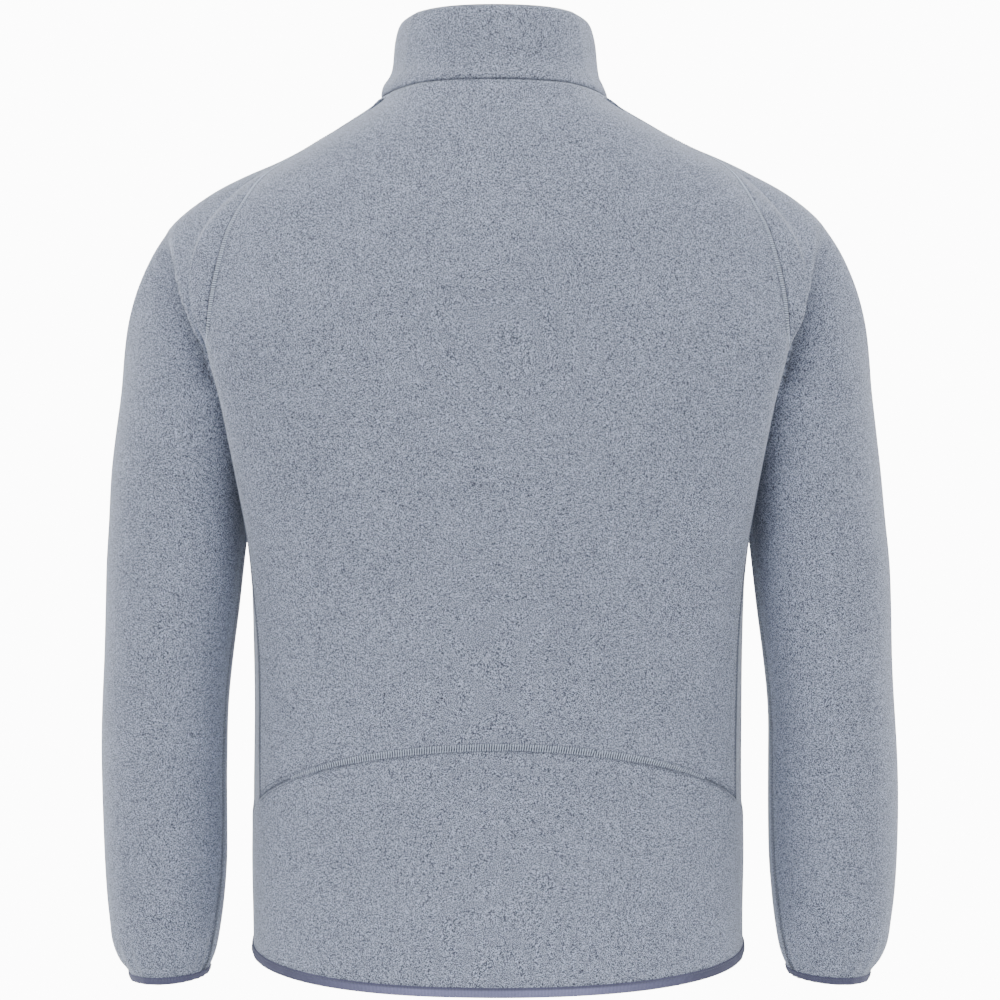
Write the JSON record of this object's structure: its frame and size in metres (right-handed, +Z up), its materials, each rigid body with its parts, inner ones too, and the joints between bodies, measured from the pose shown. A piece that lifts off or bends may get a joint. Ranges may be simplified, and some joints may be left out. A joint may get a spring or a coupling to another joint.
{
  "type": "fleece zip jacket",
  "caption": "Light fleece jacket filled out as worn: raglan sleeves, stand collar, full-length front zip, arched drop-tail back panel and bound hem and cuffs.",
  "frame": {"origin": "between the shoulders, level with the base of the neck, where the wearer's shoulders carry the jacket", "axes": "+Z up along the body, +Y out of the front, where the zip is, +X to the wearer's right; the back faces -Y"},
  "size_m": [0.611, 0.254, 0.74],
  "materials": {
    "fleece": "soft brushed pile",
    "binding": "fine rib",
    "zip_tape": "woven",
    "zip_coil": "matte",
    "zip_metal": "satin"
  },
  "bodies": {
    "jacket": {"back": "fleece", "lower_back": "fleece", "front_left": "fleece", "front_right": "fleece", "sleeve_left": "fleece", "sleeve_right": "fleece", "collar": "fleece", "hem_binding": "binding", "cuff_binding_left": "binding", "cuff_binding_right": "binding", "zip_tape_left": "zip_tape", "zip_tape_right": "zip_tape", "zip_chain": "zip_coil", "zip_slider": "zip_metal", "zip_top_stop_left": "zip_metal", "zip_top_stop_right": "zip_metal", "zip_box": "zip_coil"},
    "pull": {"zip_pull": "zip_metal"}
  },
  "joints": [
    {"name": "pull_swing", "type": "hinge", "parent": "jacket", "child": "pull", "pos_m": [0, 0.08131, -0.00547], "axis": [1, 0, 0], "range_deg": [0, 160]}
  ]
}
